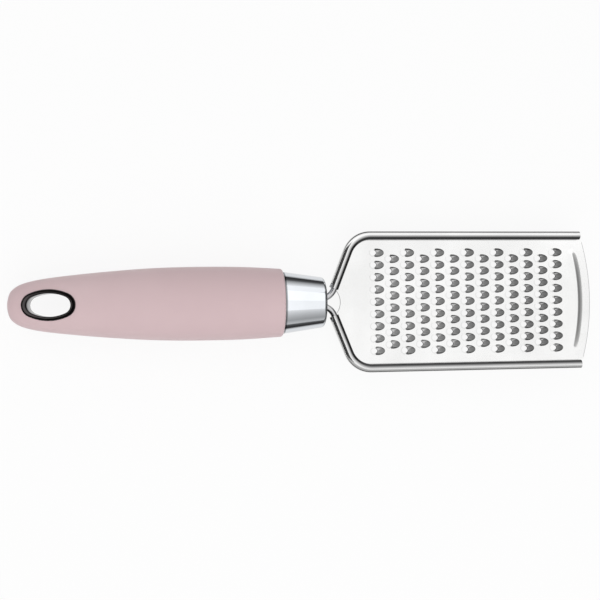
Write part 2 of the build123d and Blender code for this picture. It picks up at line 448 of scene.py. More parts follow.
def spline_value(stations: Sequence[Pair], place: float) -> float:
    """Smooth value at a place between stations, by a cubic through them.

    Args:
        stations: Places and their values, in rising order.
        place: Where to read.

    Returns:
        The value there.
    """
    last = len(stations) - 1
    index = max(0, min(last - 1, sum(1 for station, _ in stations if station <= place) - 1))

    def slope(at: int) -> float:
        """Slope of the curve at one station."""
        before, after = stations[max(at - 1, 0)], stations[min(at + 1, last)]
        return (after[1] - before[1]) / (after[0] - before[0])

    (start, low), (end, high) = stations[index], stations[index + 1]
    span = end - start
    t = ramp(place, start, span)
    return (
        (2 * t**3 - 3 * t**2 + 1) * low
        + (t**3 - 2 * t**2 + t) * span * slope(index)
        + (3 * t**2 - 2 * t**3) * high
        + (t**3 - t**2) * span * slope(index + 1)
    )


class Skin:
    """Collects loops of points into one mesh."""

    def __init__(self) -> None:
        """Starts an empty mesh."""
        self.mesh = bmesh.new()
        # Each point's painted shade, which the metals read to darken their colour.
        self.painted_shade = self.mesh.verts.layers.float.new(PAINTED_SHADE)

    def loop(self, points: Sequence[Vector], painted_shades: Sequence[float] = ()) -> Run:
        """Adds a run of points.

        Args:
            points: Places of the run.
            painted_shades: How much painted shade each place gets, from 0 to 1, or none.

        Returns:
            The run's vertices.
        """
        run = [self.mesh.verts.new(point) for point in points]
        for vertex, painted_shade in zip(run, painted_shades):
            vertex[self.painted_shade] = painted_shade
        return run

    def strip(self, outer: Run, inner: Run) -> None:
        """Joins two open runs that share their end vertices.

        Args:
            outer: One run.
            inner: The other, of the same number of vertices.
        """
        for near in range(len(outer) - 1):
            corners = (outer[near], outer[near + 1], inner[near + 1], inner[near])
            self.mesh.faces.new(tuple(dict.fromkeys(corners)))

    def bridge(self, first: Run, second: Run, closed: bool = True) -> None:
        """Joins two runs of the same number of vertices with quads.

        Args:
            first: One run of vertices.
            second: The other run.
            closed: Whether the last pair joins the first pair.
        """
        count = len(first)
        for near in range(count if closed else count - 1):
            far = (near + 1) % count
            self.mesh.faces.new((first[near], first[far], second[far], second[near]))

    def bridge_all(self, loops: Sequence[Run], closed: bool = True) -> None:
        """Bridges each run to the next one."""
        for first, second in zip(loops, loops[1:]):
            self.bridge(first, second, closed)

    def fan(self, loop: Run, middle: Vector) -> None:
        """Closes a loop with triangles to a middle point."""
        centre = self.mesh.verts.new(middle)
        for near, vertex in enumerate(loop):
            self.mesh.faces.new((vertex, loop[(near + 1) % len(loop)], centre))

    def fill(self, loops: Sequence[Run]) -> None:
        """Fills the flat region between an outer loop and the loops inside it.

        Args:
            loops: Closed runs of vertices that lie in one plane.
        """
        edges = []
        for loop in loops:
            for near, vertex in enumerate(loop):
                pair = (vertex, loop[(near + 1) % len(loop)])
                edges.append(self.mesh.edges.get(pair) or self.mesh.edges.new(pair))
        bmesh.ops.triangle_fill(
            self.mesh, use_beauty=True, use_dissolve=False, edges=edges, normal=(0, 0, 1)
        )

    def finish(self, name: str, material: bpy.types.Material) -> bpy.types.Object:
        """Welds, turns the faces outward and makes the object.

        Args:
            name: The object's name.
            material: Its material.

        Returns:
            The new object, linked to the scene.
        """
        bmesh.ops.remove_doubles(self.mesh, verts=self.mesh.verts, dist=WELD)
        bmesh.ops.recalc_face_normals(self.mesh, faces=self.mesh.faces)
        data = bpy.data.meshes.new(name)
        self.mesh.to_mesh(data)
        self.mesh.free()
        data.materials.append(material)
        return add_object(name, data)


def shade(made: bpy.types.Object, sharp_over: float) -> None:
    """Smooths an object's shading, except across edges that turn by more than an angle.

    Args:
        made: The object.
        sharp_over: The angle in degrees.
    """
    mesh = bmesh.new()
    mesh.from_mesh(made.data)
    for face in mesh.faces:
        face.smooth = abs(face.normal.z) < FLAT_OVER
    for edge in mesh.edges:
        edge.smooth = edge.calc_face_angle(0.0) < math.radians(sharp_over)
    mesh.to_mesh(made.data)
    mesh.free()


def apply_modifiers(made: bpy.types.Object) -> None:
    """Turns an object's modifiers into its own mesh.

    Args:
        made: The object.
    """
    bpy.context.view_layer.update()
    shown = made.evaluated_get(bpy.context.evaluated_depsgraph_get())
    data = bpy.data.meshes.new_from_object(shown)
    old = made.data
    made.modifiers.clear()
    made.data = data
    bpy.data.meshes.remove(old)


def thicken(made: bpy.types.Object, thickness: float) -> None:
    """Gives a sheet its thickness, half on each side.

    Args:
        made: The object of one open surface.
        thickness: The sheet's thickness.
    """
    solid = made.modifiers.new("sheet", "SOLIDIFY")
    solid.thickness = thickness
    solid.offset = 0.0
    solid.use_even_offset = False
    apply_modifiers(made)


def settle(made: bpy.types.Object, slot: str, *nodes: str) -> None:
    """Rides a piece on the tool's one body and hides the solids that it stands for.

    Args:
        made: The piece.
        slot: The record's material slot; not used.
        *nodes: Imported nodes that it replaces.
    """
    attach(made, BODY)
    for node in nodes:
        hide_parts(node)
    LOG.info("%s: %d faces", made.name, len(made.data.polygons))


# Sub-assemblies


@dataclass
class GripForm:
    """The grip's outer form: an oval section that changes along the tool."""

    tail_x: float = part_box("soft_grip")[0].x
    mouth_x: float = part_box("soft_grip")[1].x
    half_width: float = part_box("soft_grip")[1].y
    half_height: float = (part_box("soft_grip")[1].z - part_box("soft_grip")[0].z) / 2
    axis_z: float = (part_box("soft_grip")[1].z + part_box("soft_grip")[0].z) / 2
    shares: tuple[Triple, ...] = (
        (0.000, 0.000, 0.000),
        (0.014, 0.375, 0.275),
        (0.049, 0.555, 0.412),
        (0.114, 0.680, 0.522),
        (0.228, 0.790, 0.648),
        (0.380, 0.896, 0.794),
        (0.529, 0.970, 0.910),
        (0.692, 0.998, 0.980),
        (0.855, 0.986, 0.998),
        (1.000, 0.930, 0.962),
    )

    @property
    def length(self) -> float:
        """Length from tail to mouth."""
        return self.mouth_x - self.tail_x

    def half_sizes(self, x: float) -> Pair:
        """Half width and half height of the section at x.

        The shares are joined through their squares, so the tail comes out round.

        Args:
            x: Place along the tool.

        Returns:
            Half width and half height.
        """
        place = (x - self.tail_x) / self.length
        width = spline_value([(at, wide**2) for at, wide, _ in self.shares], place)
        height = spline_value([(at, high**2) for at, _, high in self.shares], place)
        return (
            self.half_width * math.sqrt(max(width, 0.0)),
            self.half_height * math.sqrt(max(height, 0.0)),
        )

    def surface_rise(self, x: float, y: float) -> float:
        """Height of the form over the tool's axis at a place in plan."""
        wide, high = self.half_sizes(x)
        return high * math.sqrt(max(0.0, 1 - (y / wide) ** 2))


@dataclass
class HangHole:
    """The oval hole through the grip's tail and the plated ring that lines it.

    The profile runs over the ring's flange from its outer edge to the hole. It holds shares of the way out
    from the hole and heights over the grip's surface in millimetres.
    """

    form: GripForm
    centre_x: float = (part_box("hang_ring_front")[0].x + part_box("hang_ring_front")[1].x) / 2
    flange_half_length: float = (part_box("hang_ring_front")[1].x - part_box("hang_ring_front")[0].x) / 2
    flange_half_width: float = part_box("hang_ring_front")[1].y
    hole_half_length: float = 8.1 * MM
    hole_half_width: float = 4.4 * MM
    steps: int = 96
    cut_share: float = 0.6
    cutter_reach: float = 20 * MM
    sleeve_wall: float = 0.4 * MM
    profile: tuple[Pair, ...] = (
        (0.96, -0.60), (1.00, -0.25), (1.00, 0.05), (0.99, 0.22), (0.95, 0.33), (0.88, 0.36),
        (0.76, 0.33), (0.58, 0.20), (0.40, 0.00), (0.24, -0.24), (0.12, -0.52), (0.04, -0.88),
        (0.00, -1.40),
    )

    def oval(self, half_length: float, half_width: float) -> list[Pair]:
        """Points in plan of an oval of four tangent arcs round the hole's middle.

        Args:
            half_length: Half of its length.
            half_width: Half of its width.

        Returns:
            Places in plan.
        """
        # The end arcs are halfway between a slot's round ends and an ellipse's tight ones.
        end_radius = (half_width + half_width**2 / half_length) / 2
        reach = half_length - end_radius
        side_radius = (reach**2 + half_width**2 - end_radius**2) / (2 * (half_width - end_radius))
        turn = math.atan2(side_radius - half_width, reach)
        points = []
        for step in range(self.steps):
            angle = 2 * math.pi * (step + 0.5) / self.steps
            across, along = math.sin(angle), math.cos(angle)
            folded = math.atan2(abs(across) * half_length, abs(along) * half_width)
            if folded < turn:
                x, y = reach + end_radius * math.cos(folded), end_radius * math.sin(folded)
            else:
                x, y = side_radius * math.cos(folded), side_radius * (math.sin(folded) - 1) + half_width
            points.append((self.centre_x + math.copysign(x, along), math.copysign(y, across)))
        return points

    def cut(self, grip: bpy.types.Object, material: bpy.types.Material) -> None:
        """Cuts the hole for the ring's sleeve out of the grip.

        Args:
            grip: The grip's object.
            material: Material of the cut wall.
        """
        wall = self.cut_share * (self.flange_half_width - self.hole_half_width)
        plan = self.oval(self.hole_half_length + wall, self.hole_half_width + wall)
        skin = Skin()
        ends = [self.form.axis_z + side * self.cutter_reach for side in (-1, 1)]
        loops = [skin.loop([Vector((x, y, z)) for x, y in plan]) for z in ends]
        skin.bridge_all(loops)
        for loop, z in zip(loops, ends):
            skin.fan(loop, Vector((self.centre_x, 0, z)))
        cutter = skin.finish("hole_cutter", material)
        cutting = grip.modifiers.new("hang_hole", "BOOLEAN")
        cutting.operation = "DIFFERENCE"
        cutting.solver = "EXACT"
        cutting.object = cutter
        apply_modifiers(grip)
        bpy.data.objects.remove(cutter)

    def ring(self, side: int, name: str, material: bpy.types.Material) -> bpy.types.Object:
        """One half of the ring: a rounded flange over the grip and half of the sleeve.

        Args:
            side: 1 for the toothed side and -1 for the back.
            name: The piece's name.
            material: The ring's material.

        Returns:
            The ring's object.
        """
        skin = Skin()
        loops = []
        for share, rise in self.profile:
            half_length = self.hole_half_length + share * (self.flange_half_length - self.hole_half_length)
            half_width = self.hole_half_width + share * (self.flange_half_width - self.hole_half_width)
            points = []
            for x, y in self.oval(half_length, half_width):
                level = self.form.surface_rise(x, y) + rise * MM
                points.append(Vector((x, y, self.form.axis_z + side * level)))
            loops.append(skin.loop(points))
        plan = self.oval(self.hole_half_length, self.hole_half_width)
        loops.append(skin.loop([Vector((x, y, self.form.axis_z)) for x, y in plan]))
        outer = self.oval(self.hole_half_length + self.sleeve_wall, self.hole_half_width + self.sleeve_wall)
        loops.append(skin.loop([Vector((x, y, self.form.axis_z)) for x, y in outer]))
        skin.bridge_all(loops)
        skin.bridge(loops[-1], loops[0])
        made = skin.finish(name, material)
        shade(made, sharp_over=50)
        return made


@dataclass
class Grip:
    """The soft moulded grip."""

    form: GripForm
    sections: int = 150
    around: int = 120
    mouth_round: float = 0.9 * MM
    mouth_wall: float = 1.6 * MM
    mouth_steps: int = 8
    tail_crowding: float = 1.7

    def build(self, material: bpy.types.Material, hole: HangHole) -> bpy.types.Object:
        """Makes the grip with its rounded tail, rounded mouth and hang hole.

        Args:
            material: The grip's material.
            hole: The hang hole to cut.

        Returns:
            The grip's object.
        """
        skin = Skin()
        circle = circle_points(self.around)
        loops = []

        def section(x: float, inset: float) -> None:
            """Adds one section.

            Args:
                x: Its place along the tool.
                inset: How much smaller it is all round.
            """
            wide, high = self.form.half_sizes(x)
            wide, high = wide - inset, high - inset
            loops.append(skin.loop([Vector((x, wide * c, self.form.axis_z + high * s)) for c, s in circle]))

        start, end = self.form.tail_x, self.form.mouth_x - self.mouth_round
        for step in range(1, self.sections + 1):
            section(start + (end - start) * (step / self.sections) ** self.tail_crowding, 0.0)
        for step in range(1, self.mouth_steps + 1):
            turn = math.pi / 2 * step / self.mouth_steps
            section(end + self.mouth_round * math.sin(turn), self.mouth_round * (1 - math.cos(turn)))
        section(self.form.mouth_x, self.mouth_wall)
        section(self.form.mouth_x - self.mouth_wall, self.mouth_wall)
        skin.bridge_all(loops)
        skin.fan(loops[0], Vector((self.form.tail_x, 0, self.form.axis_z)))
        skin.fan(loops[-1], Vector((self.form.mouth_x - self.mouth_wall, 0, self.form.axis_z)))
        made = skin.finish("soft_grip_skin", material)
        hole.cut(made, material)
        shade(made, sharp_over=50)
        return made


@dataclass
class Ferrule:
    """The tapered metal cup between grip and blade."""

    rear_x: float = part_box("ferrule")[0].x
    face_x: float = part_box("ferrule")[1].x
    rear_radius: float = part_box("ferrule")[1].y
    front_radius: float = 9.9 * MM
    shoulder: float = 1.5 * MM
    shoulder_steps: int = 10
    # Painted shade: a dark band round the rounded front shoulder stands for its dark reflection, and a dark
    # band at the rear edge stands for the shade in the joint with the grip.
    shoulder_painted_shade: float = 0.75
    shade_rise_steps: int = 6
    shade_fall_steps: int = 2
    seam_painted_shade: float = 0.68
    seam_shade_width: float = 0.9 * MM
    seam_shade_core: float = 0.65
    lip: float = 0.15 * MM
    wall: float = 0.8 * MM
    nose_wall: float = 1.0 * MM
    slot_half_length: float = 2.95 * MM
    slot_half_height: float = 1.3 * MM
    slot_around: int = 40
    axis_z: float = (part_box("ferrule")[0].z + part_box("ferrule")[1].z) / 2
    around: int = 128

    def profile(self) -> list[Triple]:
        """The cup's outline from the inside of its rear edge to the slotted face.

        Returns:
            Places along the tool, each with its radius and its painted shade.
        """
        lean = math.atan2(self.rear_radius - self.front_radius, self.face_x - self.rear_x)
        points = [
            (self.rear_x + self.wall, self.rear_radius - self.wall, 0.0),
            (self.rear_x, self.rear_radius - self.wall, 0.0),
            (self.rear_x, self.rear_radius - self.lip, self.seam_painted_shade),
        ]
        # Painted shade of the joint: full over the lip and the seam's core, then fading out.
        core_end = self.seam_shade_core * self.seam_shade_width
        for run, tone in ((self.lip, self.seam_painted_shade), (core_end, self.seam_painted_shade), (self.seam_shade_width, 0.0)):
            points.append((self.rear_x + run, self.rear_radius - run * math.tan(lean), tone))
        edge_radius = self.front_radius + self.shoulder * math.tan(lean)
        centre_radius = edge_radius - self.shoulder / math.cos(lean)
        # Painted shade of the shoulder's dark reflection rises over its first steps and falls over its last.
        for step in range(self.shoulder_steps + 1):
            turn = (math.pi / 2 - lean) * (1 - step / self.shoulder_steps)
            rest = self.shoulder_steps - step
            fade = min(step / self.shade_rise_steps, rest / self.shade_fall_steps, 1.0)
            points.append((
                self.face_x - self.shoulder + self.shoulder * math.cos(turn),
                centre_radius + self.shoulder * math.sin(turn),
                self.shoulder_painted_shade * fade,
            ))
        return points

    def build(self, material: bpy.types.Material) -> bpy.types.Object:
        """Makes the cup with its rounded shoulder and the rods' slot.

        Args:
            material: The ferrule's material.

        Returns:
            The ferrule's object.
        """
        skin = Skin()
        circle = circle_points(self.around)
        loops = []
        # tone here is the profile's painted shade, put all round each ring.
        for x, radius, tone in self.profile():
            points = [Vector((x, radius * c, self.axis_z + radius * s)) for c, s in circle]
            loops.append(skin.loop(points, [tone] * self.around))
        skin.bridge_all(loops)
        reach = self.slot_half_length - self.slot_half_height
        slots = []
        for x in (self.face_x, self.face_x - self.nose_wall):
            points = []
            for c, s in circle_points(self.slot_around):
                end = math.copysign(reach, c) if abs(c) > ON_AXIS else 0.0
                y = end + self.slot_half_height * c
                points.append(Vector((x, y, self.axis_z + self.slot_half_height * s)))
            slots.append(skin.loop(points))
        skin.bridge_all(slots)
        skin.fill([loops[-1], slots[0]])
        made = skin.finish("ferrule_cup", material)
        shade(made, sharp_over=40)
        return made


@dataclass
class FramePath:
    """Plan of one side of the blade's frame: a leg, a corner and a straight side."""

    side_y: float
    leg_x: float
    leg_y: float
    end_x: float
    leg_turn: float = math.radians(68.4)
    corner_radius: float = 10.0 * MM
    leg_steps: int = 6
    corner_steps: int = 20
    side_steps: int = 24

    @property
    def along(self) -> Vector:
        """Direction of the leg away from the grip, on the left side."""
        return Vector((math.cos(self.leg_turn), math.sin(self.leg_turn)))

    @property
    def outward(self) -> Vector:
        """Direction away from the blade, square to the leg, on the left side."""
        return Vector((-math.sin(self.leg_turn), math.cos(self.leg_turn)))

    @property
    def corner_centre(self) -> Vector:
        """Middle of the corner's arc, on the left side.

        Returns:
            The place in plan.
        """
        corner_x = self.leg_x + (self.side_y - self.leg_y) / math.tan(self.leg_turn)
        setback = self.corner_radius * math.tan(self.leg_turn / 2)
        return Vector((corner_x + setback, self.side_y - self.corner_radius))

    def offset_line(self, offset: float, start: Vector) -> list[Vector]:
        """Places in plan along the frame, moved outward by an offset.

        Args:
            offset: How far outward.
            start: The first place, on the offset leg.

        Returns:
            Places from the neck to the open end of the side.
        """
        centre = self.corner_centre
        radius = self.corner_radius + offset
        first_turn = math.atan2(self.outward.y, self.outward.x)
        line = [start]
        leg_end = centre + self.outward * radius
        for step in range(1, self.leg_steps):
            line.append(start.lerp(leg_end, step / self.leg_steps))
        for step in range(self.corner_steps + 1):
            turn = first_turn + (math.pi / 2 - first_turn) * step / self.corner_steps
            line.append(centre + Vector((math.cos(turn), math.sin(turn))) * radius)
        side_start = line[-1]
        side_end = Vector((self.end_x, self.side_y + offset))
        for step in range(1, self.side_steps + 1):
            line.append(side_start.lerp(side_end, step / self.side_steps))
        return line


@dataclass
class Rod:
    """One bent rod of the frame."""

    path: FramePath
    tang_x: float
    rod_y: float
    radius: float
    axis_z: float
    bend_radius: float = 6.0 * MM
    bend_steps: int = 14
    end_round: float = 0.25 * MM
    end_steps: int = 6
    around: int = 32

    def build(self, side: int, name: str, material: bpy.types.Material) -> bpy.types.Object:
        """Sweeps the rod's round section along its bent centre line.

        Args:
            side: 1 on the left and -1 on the right.
            name: The piece's name.
            material: The rod's material.

        Returns:
            The rod's object.
        """
        turn = self.path.leg_turn
        bend_x = self.path.leg_x - self.bend_radius * math.sin(turn)
        line = [Vector((self.tang_x, self.rod_y)), Vector((bend_x, self.rod_y))]
        for step in range(1, self.bend_steps + 1):
            angle = turn * step / self.bend_steps
            line.append(Vector((
                bend_x + self.bend_radius * math.sin(angle),
                self.rod_y + self.bend_radius * (1 - math.cos(angle)),
            )))
        start = Vector((self.path.leg_x, self.path.leg_y))
        line += self.path.offset_line(0.0, start)[1:]
        skin = Skin()
        circle = circle_points(self.around)
        rings = []
        for index, place in enumerate(line):
            ahead = line[min(index + 1, len(line) - 1)] - line[max(index - 1, 0)]
            ahead.normalize()
            rings.append((place, ahead, self.radius))
        last, ahead, _ = rings.pop()
        for step in range(self.end_steps + 1):
            angle = math.pi / 2 * step / self.end_steps
            shift = ahead * (self.end_round * (math.sin(angle) - 1))
            rings.append((last + shift, ahead, self.radius - self.end_round * (1 - math.cos(angle))))
        loops = []
        for place, ahead, radius in rings:
            across = Vector((-ahead.y, ahead.x))
            points = []
            for c, s in circle:
                spot = place + across * (radius * c)
                points.append(Vector((spot.x, side * spot.y, self.axis_z + radius * s)))
            loops.append(skin.loop(points))
        skin.bridge_all(loops)
        for loop, place in ((loops[0], rings[0][0]), (loops[-1], rings[-1][0])):
            skin.fan(loop, Vector((place.x, side * place.y, self.axis_z)))
        made = skin.finish(name, material)
        shade(made, sharp_over=45)
        return made


@dataclass
class Tooth:
    """One punched tooth: a hole whose rim rises to the edge of a domed hood."""

    hole_radius: float = 1.15 * MM
    collar_radius: float = 1.6 * MM
    collar_height: float = 0.07 * MM
    hood_middle: float = 1.55 * MM
    hood_half_length: float = 2.9 * MM
    hood_half_width: float = 1.64 * MM
    hood_height: float = 1.0 * MM
    hood_fall: float = 1.2
    edge_turn: float = math.radians(60.0)
    edge_drop: float = math.radians(3.0)
    evenness: float = 0.6
    margin: float = 0.12 * MM
    # Painted shade on the hood: darkest along its sheared edge and down its flanks, some toward its foot and
    # a little all over, standing for its dark reflections and the shade at its foot; along the edge it
    # stands partly for the duller sheared steel too. The collar gets a faint painted shade.
    edge_painted_shade: float = 0.9
    edge_run: float = 0.08
    flank_painted_shade: float = 0.85
    flank_start: float = 0.25
    flank_run: float = 0.65
    end_painted_shade: float = 0.38
    end_start: float = 0.45
    end_run: float = 0.5
    least_square: float = 0.01
    hood_painted_shade: float = 0.30
    collar_painted_shade: float = 0.10
    hood_steps: int = 22
    collar_steps: int = 11
    shares: tuple[float, ...] = (0.0, 0.05, 0.12, 0.24, 0.38, 0.54, 0.7, 0.85, 0.95, 1.0)

    def foot_radius(self, c: float, s: float) -> float:
        """Distance from the hole's middle to the foot in one direction.

        Args:
            c: Cosine of the direction's angle to the tool's axis.
            s: Its sine.

        Returns:
            The distance to the hood's oval outline or to the collar, whichever is farther.
        """
        long, wide = self.hood_half_length, self.hood_half_width
        square = (c / long) ** 2 + (s / wide) ** 2
        linear = c * self.hood_middle / long**2
        root = linear**2 - square * ((self.hood_middle / long) ** 2 - 1)
        return max(self.collar_radius, (linear + math.sqrt(root)) / square) if c > 0 else self.collar_radius

    def painted_shade_at(self, share: float, x: float, y: float) -> float:
        """How much painted shade the hood gets at a place: most at its sheared edge and down its flanks.

        Args:
            share: Share of the way from the rim to the foot.
            x: Place along the tool from the hole's middle.
            y: Place across it.

        Returns:
            The painted shade from 0 to 1.
        """
        past = max(x - self.hood_middle, 0.0) / self.hood_half_length
        narrowing = math.sqrt(max(1 - past**2, self.least_square))
        aside = abs(y) / (self.hood_half_width * narrowing)
        # Painted shade terms: the edge, the flanks, toward the foot, and the least all over.
        edge = max(1 - share / self.edge_run, 0.0) * self.edge_painted_shade
        flank = ramp(aside, self.flank_start, self.flank_run) * self.flank_painted_shade
        end = ramp(share, self.end_start, self.end_run) * self.end_painted_shade
        return max(edge, flank, end, self.hood_painted_shade)

    def turns(self) -> list[tuple[float, bool]]:
        """Directions round the hole's middle.

        Returns:
            Angles to the tool's axis, each with whether the hood lies that way.
        """
        turns = []
        for step in range(self.hood_steps + 1):
            even = 1 - 2 * step / self.hood_steps
            crowded = self.evenness * even + (1 - self.evenness) * even**3
            turns.append((-self.edge_turn * crowded, True))
        start = self.edge_turn + self.edge_drop
        for step in range(self.collar_steps + 1):
            turns.append((start + 2 * (math.pi - start) * step / self.collar_steps, False))
        return turns

    def rows(self) -> list[tuple[list[Triple], list[float]]]:
        """Loops of points from the rim out to the flat sheet, round the hole's middle.

        Returns:
            Loops of (x, y, height over the sheet's middle surface), each with its painted shade per point.
        """
        loops = []
        for share in (*self.shares, 1.0 + self.margin / self.hood_half_width):
            points, painted_shades = [], []
            for turn, hooded in self.turns():
                c, s = math.cos(turn), math.sin(turn)
                rim = self.hole_radius
                reach = rim + (self.foot_radius(c, s) - rim) * min(share, 1.0)
                reach += max(share - 1.0, 0.0) * self.hood_half_width
                arch = self.hood_height * (1 - (rim * s / self.hood_half_width) ** 2)
                rise = (arch if hooded else self.collar_height) * max(1 - share**self.hood_fall, 0.0)
                points.append((reach * c, reach * s, rise))
                painted_shade_share = self.painted_shade_at(share, reach * c, reach * s) if hooded else self.collar_painted_shade
                painted_shades.append(painted_shade_share if share <= 1.0 else 0.0)
            loops.append((points, painted_shades))
        return loops


@dataclass
class Bead:
    """The shallow pressed rib near the tip."""

    centre_x: float
    radius: float
    half_turn: float
    half_width: float = 2.5 * MM
    height: float = 0.66 * MM
    crest_round: float = 0.10
    steepness: float = 2.1
    end_fade: float = 0.75
    end_power: int = 4
    margin: float = 0.15 * MM
    along_steps: int = 30
    cap_steps: int = 8
    rings: int = 9

    def rows(self) -> list[list[Triple]]:
        """Loops of points from the crest line out to the flat sheet.

        Returns:
            Loops of (x, y, height over the sheet's middle surface).
        """
        loops = []
        for ring in range(self.rings + 2):
            share = min(ring / self.rings, 1.0)
            spread = self.half_width * share + (self.margin if ring > self.rings else 0.0)
            fall = math.hypot(share, self.crest_round * (1 - share))
            profile = self.height * (1 - fall) ** self.steepness
            points = []
            for side in (1, -1):
                for step in range(self.along_steps + 1):
                    turn = side * self.half_turn * (1 - 2 * step / self.along_steps)
                    reach = self.radius + side * spread
                    rise = profile * (1 - self.end_fade * abs(turn / self.half_turn) ** self.end_power)
                    points.append((self.centre_x + reach * math.cos(turn), reach * math.sin(turn), rise))
                end = -side * self.half_turn
                end_x, end_y = self.centre_x + self.radius * math.cos(end), self.radius * math.sin(end)
                rise = profile * (1 - self.end_fade)
                for step in range(1, self.cap_steps):
                    turn = end + (math.pi if side < 0 else 0.0) - math.pi * step / self.cap_steps
                    points.append((end_x + spread * math.cos(turn), end_y + spread * math.sin(turn), rise))
            loops.append(points)
        return loops


@dataclass
class Blade:
    """The sheet blade: plate, rolled edges, notch, teeth, bead and bowed tip."""

    path: FramePath
    axis_z: float
    roll_radius: float
    tip_x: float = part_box("blade")[1].x
    notch_x: float = 4.21 * MM
    notch_radius: float = 7.1 * MM
    tip_half_width: float = 24.95 * MM
    tip_corner_run: float = 1.6 * MM
    columns: int = 13
    rows: int = 9
    column_pitch: float = 6.36 * MM
    row_pitch: float = 4.97 * MM
    first_column_x: float = 25.08 * MM
    tooth: Tooth = field(default_factory=Tooth)
    bead_inset: float = 5.6 * MM
    bead_length: float = 38.0 * MM
    edge_margin: float = 0.35 * MM
    # Painted shade: a dark strip along the sheared edges of the tip and the notch.
    cut_edge_shade_width: float = 0.28 * MM
    cut_edge_painted_shade: float = 0.8
    leg_fullness: float = 0.35 * MM
    # Painted shade on the roll's inner flank, standing for the shade in the crease by the plate and the
    # roll's dark reflection; it eases off toward the curl's end.
    roll_shade_tone: float = 0.93
    roll_shade_start: float = 76.0
    roll_shade_run: float = 40.0
    curl_lift: float = 0.5
    curl_start: float = 145.0
    roll_sweep: float = 315.0
    roll_steps: int = 36
    tip_steps: int = 36
    notch_steps: int = 20

    @property
    def level(self) -> float:
        """Height of the plate's middle surface."""
        return self.axis_z - self.roll_radius

    @property
    def tip_radius(self) -> float:
        """Radius of the bowed tip."""
        bulge = self.tip_x - self.path.end_x - self.tip_corner_run
        return (self.tip_half_width**2 + bulge**2) / (2 * bulge)

    def at(self, place: Sequence[float], rise: float = 0.0, side: int = 1) -> Vector:
        """Point over the plate's middle surface at a place in plan, which side -1 mirrors to the right."""
        return Vector((place[0], side * place[1], self.level + rise))

    def notch_start(self, offset: float) -> Vector:
        """Where the offset leg line leaves the notch's circle, on the left side.

        Args:
            offset: How far outward of the rod's centre line.

        Returns:
            The place in plan.
        """
        base = Vector((self.path.leg_x, self.path.leg_y)) + self.path.outward * offset
        to_base = base - Vector((self.notch_x, 0.0))
        half = to_base.dot(self.path.along)
        root = half**2 - (to_base.length_squared - self.notch_radius**2)
        return base + self.path.along * (-half + math.sqrt(max(root, 0.0)))

    def edge_line(self, offset: float) -> list[Vector]:
        """Places in plan along the left side's frame, from a square cut at the notch to the open end."""
        start = self.notch_start(-self.edge_margin) + self.path.outward * (offset + self.edge_margin)
        return self.path.offset_line(offset, start)

    def roll_line(self, offset: float) -> list[Vector]:
        """Places in plan along one line of the rolled edge, which is fuller on the outer side of the legs.

        Args:
            offset: How far outward of the rod's centre line on the straight side.

        Returns:
            Places from the square cut to the open end of the side.
        """
        fuller = offset + self.leg_fullness * max(offset, 0.0) / self.roll_radius
        last_leg = self.path.leg_steps
        line = []
        for index, (slim, full) in enumerate(zip(self.edge_line(offset), self.edge_line(fuller))):
            line.append(slim.lerp(full, 1 - ramp(index, last_leg, self.path.corner_steps)))
        return line

    def roll_painted_shade(self, turn: float) -> float:
        """How much painted shade the roll gets: most over the rod's inner side, and less again toward the
        curl's end.

        Args:
            turn: Angle round the rod, 0 at its outer side and rising over its top.

        Returns:
            The painted shade from 0 to 1.
        """
        degrees = math.degrees(turn)
        lift = self.curl_lift * ramp(degrees, self.curl_start, self.roll_shade_run)
        return ramp(degrees, self.roll_shade_start, self.roll_shade_run) * (self.roll_shade_tone - lift)

    def add_rolls(self, skin: Skin) -> dict[int, Run]:
        """Adds both rolled edges.

        Args:
            skin: The mesh to add to.

        Returns:
            By side, the run of vertices where the roll meets the plate.
        """
        feet = {}
        for side in (1, -1):
            runs = [skin.loop([self.at(place, side=side) for place in self.edge_line(-self.edge_margin)])]
            for step in range(self.roll_steps + 1):
                turn = math.radians(self.roll_sweep * step / self.roll_steps - 90)
                rise = self.roll_radius * (1 + math.sin(turn))
                line = self.roll_line(self.roll_radius * math.cos(turn))
                places = [self.at(place, rise, side) for place in line]
                runs.append(skin.loop(places, [self.roll_painted_shade(turn)] * len(line)))
            skin.bridge_all(runs, closed=False)
            feet[side] = runs[0]
        return feet

    def add_painted_edge_shade(
        self, skin: Skin, ends: Run, edge: Sequence[Vector], inside: Sequence[Vector]
    ) -> Run:
        """Adds a strip of painted shade along a sheared edge, between two vertices that stand already.

        Args:
            skin: The mesh to add to.
            ends: The two vertices.
            edge: Points on the edge.
            inside: The same number of points beside the strip.

        Returns:
            The run of vertices beside the strip, ends and all.
        """
        outer = [ends[0], *skin.loop(edge, [self.cut_edge_painted_shade] * len(edge)), ends[1]]
        inner = [ends[0], *skin.loop(inside), ends[1]]
        skin.strip(outer, inner)
        return inner

    def add_tip(self, skin: Skin) -> Run:
        """Adds the bowed tip's edge.

        Args:
            skin: The mesh to add to.

        Returns:
            The run of vertices from the left corner to the right one.
        """
        radius = self.tip_radius
        centre_x = self.tip_x - radius
        half_turn = math.asin(self.tip_half_width / radius)
        end_x, end_y = centre_x + radius * math.cos(half_turn), radius * math.sin(half_turn)
        corners = skin.loop([self.at((self.path.end_x, side * self.tip_half_width)) for side in (1, -1)])
        ends = skin.loop([self.at((end_x, side * end_y)) for side in (1, -1)])
        turns = [half_turn * (1 - 2 * step / self.tip_steps) for step in range(1, self.tip_steps)]
        edge, inside = [
            [self.at((centre_x + reach * math.cos(turn), reach * math.sin(turn))) for turn in turns]
            for reach in (radius, radius - self.cut_edge_shade_width)
        ]
        return [corners[0], *self.add_painted_edge_shade(skin, ends, edge, inside), corners[1]]

